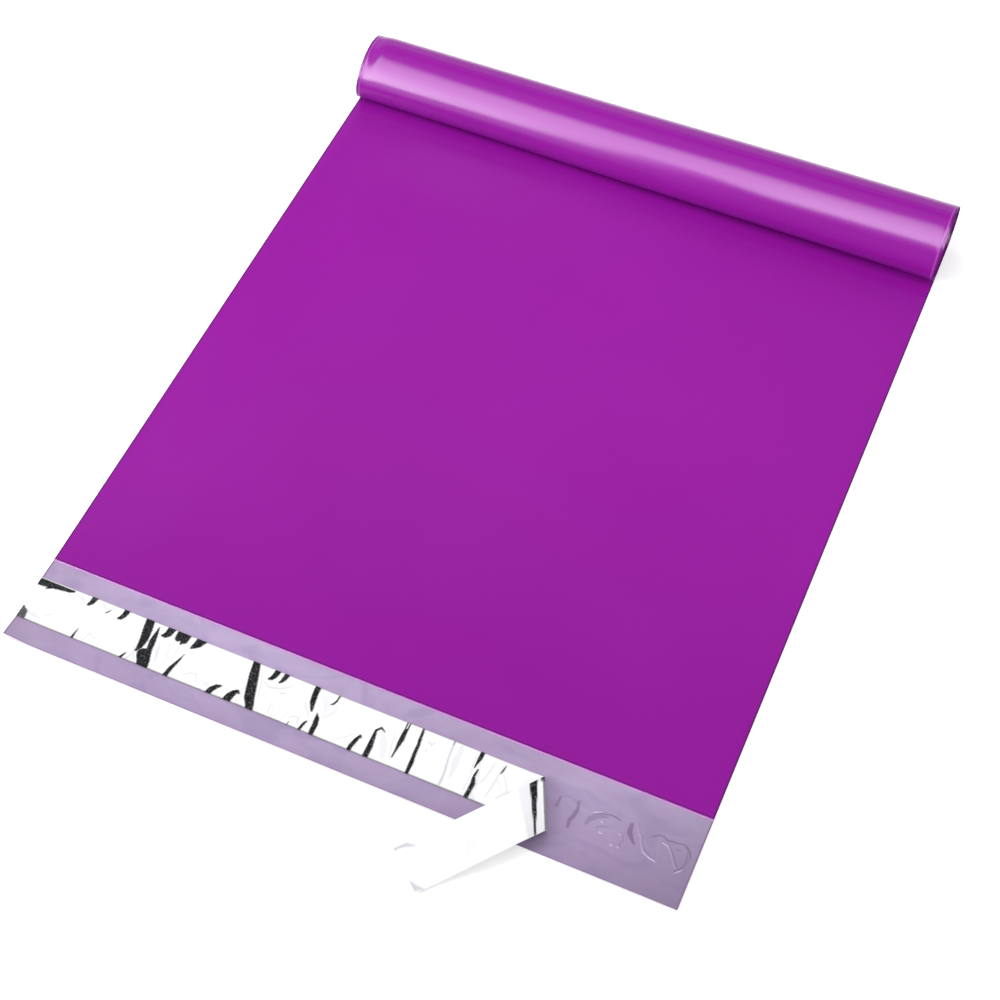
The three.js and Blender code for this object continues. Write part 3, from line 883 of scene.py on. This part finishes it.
def white_panel():
    material, nodes, links = start_material("white_panel")
    shader = nodes["Principled BSDF"]
    shader.inputs["Base Color"].default_value = (0, 0, 0, 1)
    shader.inputs["Emission Color"].default_value = (1, 1, 1, 1)
    glow = nodes.new("ShaderNodeAttribute")
    glow.attribute_name = "glow"
    strength = nodes.new("ShaderNodeMath")
    strength.operation = "MULTIPLY"
    strength.inputs[1].default_value = PANEL_GLOW
    links.new(glow.outputs["Fac"], strength.inputs[0])
    links.new(strength.outputs["Value"], shader.inputs["Emission Strength"])
    return material


light_panel = add_object("light_panel", light_panel_mesh, white_panel())
light_panel.visible_camera = False
light_panel.visible_diffuse = False
light_panel.visible_shadow = False


def add_lamp(name, place, power, width, depth):
    light = bpy.data.lights.new(name, "AREA")
    light.shape = "RECTANGLE"
    light.size = width
    light.size_y = depth
    light.energy = power
    lamp = bpy.data.objects.new(name, light)
    lamp.location = place
    lamp.visible_camera = False
    lamp.visible_glossy = False
    bpy.context.scene.collection.objects.link(lamp)
    return lamp


top_lamp = add_lamp("top_lamp", (-0.06, 0.26, 0.4), power=1.52, width=1.2, depth=0.3)
front_lamp = add_lamp("front_lamp", (-1.5, -0.9, 0.8), power=19, width=0.5, depth=0.5)
back_lamp = add_lamp("back_lamp", (-0.4, 1.2, 0.8), power=2.5, width=0.3, depth=0.3)
for lamp in (front_lamp, back_lamp):
    lamp.rotation_euler = lamp.location.to_track_quat("Z", "Y").to_euler()

# Grey of the room by the height of the direction looked in, in front of the bag and behind it
FRONT_ROOM = [(0, 0.05), (0.1, 0.2), (0.25, 0.5), (0.4, 0.62), (0.6, 0.67), (0.9, 0.45)]
BACK_ROOM = [(0.1, 0.5), (0.4, 0.6), (0.6, 0.72), (0.65, 0.52), (0.69, 0.26), (0.745, 0.16), (0.79, 0.44),
             (0.84, 0.32), (0.88, 0.12), (0.92, 0.05), (0.98, 0.4)]
ROOM_GLOW = 1.2
world = bpy.data.worlds.new("studio")
bpy.context.scene.world = world
world.use_nodes = True
world_nodes = world.node_tree.nodes
world_links = world.node_tree.links
direction = world_nodes.new("ShaderNodeTexCoord")
turn = world_nodes.new("ShaderNodeSeparateXYZ")
world_links.new(direction.outputs["Generated"], turn.inputs["Vector"])
front_greys = [(height, (grey, grey, grey)) for height, grey in FRONT_ROOM]
back_greys = [(height, (grey, grey, grey)) for height, grey in BACK_ROOM]
front_room = ramp(world_nodes, world_links, turn.outputs["Z"], *front_greys)
back_room = ramp(world_nodes, world_links, turn.outputs["Z"], *back_greys)
backward = ramp(world_nodes, world_links, turn.outputs["Y"], (0, (0, 0, 0)), (0.35, (1, 1, 1)))
room = world_nodes.new("ShaderNodeMix")
room.data_type = "RGBA"
world_links.new(backward, room.inputs["Factor"])
world_links.new(front_room, room.inputs["A"])
world_links.new(back_room, room.inputs["B"])
world_links.new(room.outputs["Result"], world_nodes["Background"].inputs["Color"])
world_nodes["Background"].inputs["Strength"].default_value = ROOM_GLOW

# Camera
# Looks down on the mouth from the right, as the bag lies on the table.
VIEW_AZIMUTH = math.radians(24.59)
VIEW_ELEVATION = math.radians(56.95)
VIEW_ROLL = math.radians(-0.94)
VIEW_DISTANCE = 1.0184
VIEW_TARGET = Vector((0.0155, 0.1278, 0))
VIEW_LENS = 68.6
toward_eye = Vector((
    math.sin(VIEW_AZIMUTH) * math.cos(VIEW_ELEVATION),
    -math.cos(VIEW_AZIMUTH) * math.cos(VIEW_ELEVATION),
    math.sin(VIEW_ELEVATION),
))
level_right = Vector((math.cos(VIEW_AZIMUTH), math.sin(VIEW_AZIMUTH), 0))
turned_right = level_right * math.cos(VIEW_ROLL) + toward_eye.cross(level_right) * math.sin(VIEW_ROLL)
up_screen = toward_eye.cross(turned_right)
lens = bpy.data.cameras.new("view")
lens.lens = VIEW_LENS
lens.sensor_width = 36
camera = bpy.data.objects.new("view", lens)
camera.matrix_world = Matrix.Translation(VIEW_TARGET + toward_eye * VIEW_DISTANCE) @ Matrix((
    turned_right, up_screen, toward_eye)).transposed().to_4x4()
bpy.context.scene.collection.objects.link(camera)
bpy.context.scene.camera = camera

bpy.context.scene.view_settings.view_transform = "Standard"
